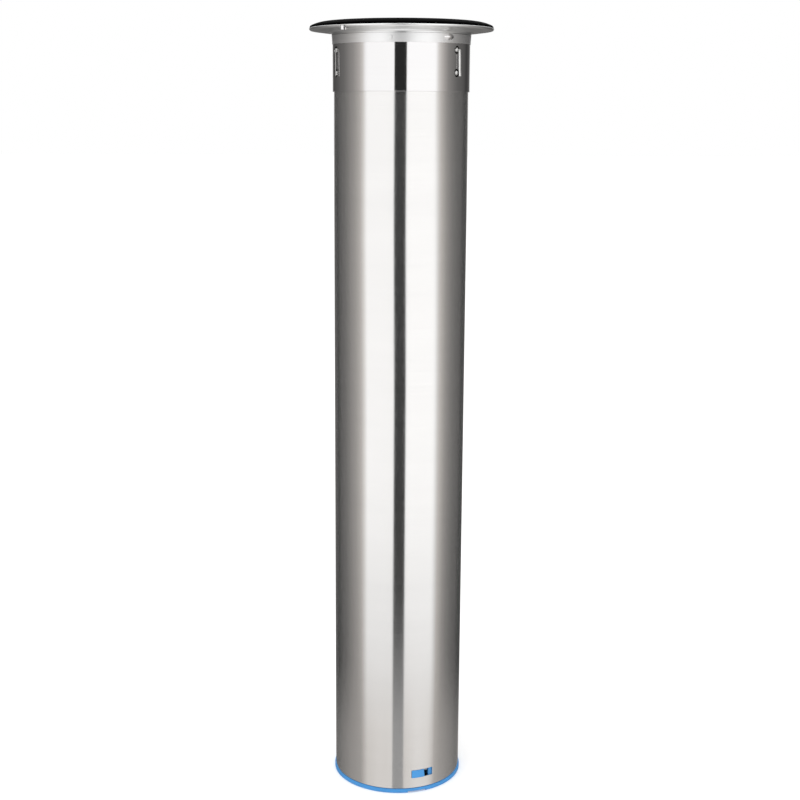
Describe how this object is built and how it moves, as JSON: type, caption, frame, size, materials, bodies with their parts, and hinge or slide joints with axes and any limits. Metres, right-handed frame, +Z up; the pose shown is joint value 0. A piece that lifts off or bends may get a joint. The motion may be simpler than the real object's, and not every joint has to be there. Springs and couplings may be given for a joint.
{
  "type": "in-counter cup dispenser",
  "caption": "Drop-in cup dispenser: a stainless tube hung by its mouth flange, a spring-lifted platform that feeds cups up through a slit rubber gasket, and a clip-in base cap.",
  "frame": {"origin": "centre of the base cap's underside", "axes": "+Z up along the tube; -Y faces the front, with one of the cap's two latch windows a little to its +X side; azimuths grow from -Y towards +X"},
  "size_m": [0.136, 0.136, 0.59],
  "materials": {
    "brushed_tube": "fine circumferential brushing",
    "polished_collar": "near-mirror stainless",
    "pressed_flange": "satin pressed stainless",
    "grey_plastic": "matte moulded",
    "black_rubber": "matte rubber",
    "black_trim": "satin moulded",
    "blue_plastic": "semi-gloss moulded",
    "white_plastic": "matte moulded",
    "spring_steel": "bright drawn wire",
    "clip_steel": "bright strip",
    "fastener_steel": "bright"
  },
  "bodies": {
    "housing": {"tube": "brushed_tube", "collar": "polished_collar", "collar_rivet_a": "fastener_steel", "collar_rivet_b": "fastener_steel", "collar_rivet_c": "fastener_steel", "flange": "pressed_flange", "flange_neck": "pressed_flange", "stop_ring": "grey_plastic", "cup_gasket": "black_rubber", "trim_ring": "black_trim", "base_cap": "blue_plastic", "spring_seat": "fastener_steel", "lift_spring": "spring_steel"},
    "carriage": {"platform": "white_plastic", "spring_centring_ring": "grey_plastic", "platform_screw_a": "fastener_steel", "platform_screw_b": "fastener_steel", "platform_screw_c": "fastener_steel", "guide_shoe_a": "grey_plastic", "guide_shoe_b": "grey_plastic", "guide_shoe_c": "grey_plastic"},
    "clip_a": {"retention_clip_a": "clip_steel"},
    "clip_b": {"retention_clip_b": "clip_steel"},
    "clip_c": {"retention_clip_c": "clip_steel"},
    "latch_a": {"cap_latch_a": "blue_plastic"},
    "latch_b": {"cap_latch_b": "blue_plastic"}
  },
  "joints": [
    {"name": "platform_lift", "type": "slide", "parent": "housing", "child": "carriage", "axis": [0, 0, 1], "range_m": [-0.48, 0], "stiffness_N_per_m": 10, "springref_m": 0.3, "deforming": ["lift_spring"]},
    {"name": "clip_press_a", "type": "slide", "parent": "housing", "child": "clip_a", "axis": [-0.7826, 0.6225, 0], "range_m": [0, 0.0008], "stiffness_N_per_m": 60, "springref_m": -0.001},
    {"name": "clip_press_b", "type": "slide", "parent": "housing", "child": "clip_b", "axis": [-0.1478, -0.989, 0], "range_m": [0, 0.0008], "stiffness_N_per_m": 60, "springref_m": -0.001},
    {"name": "clip_press_c", "type": "slide", "parent": "housing", "child": "clip_c", "axis": [0.9304, 0.3665, 0], "range_m": [0, 0.0008], "stiffness_N_per_m": 60, "springref_m": -0.001},
    {"name": "cap_release_a", "type": "hinge", "parent": "housing", "child": "latch_a", "pos_m": [0.0158, -0.04538, 0.0037], "axis": [-0.9444, -0.3289, 0], "range_deg": [0, 17], "stiffness_Nm_per_rad": 0.004, "springref_deg": -5.73},
    {"name": "cap_release_b", "type": "hinge", "parent": "housing", "child": "latch_b", "pos_m": [-0.0158, 0.04538, 0.0037], "axis": [0.9444, 0.3289, 0], "range_deg": [0, 17], "stiffness_Nm_per_rad": 0.004, "springref_deg": -5.73}
  ]
}
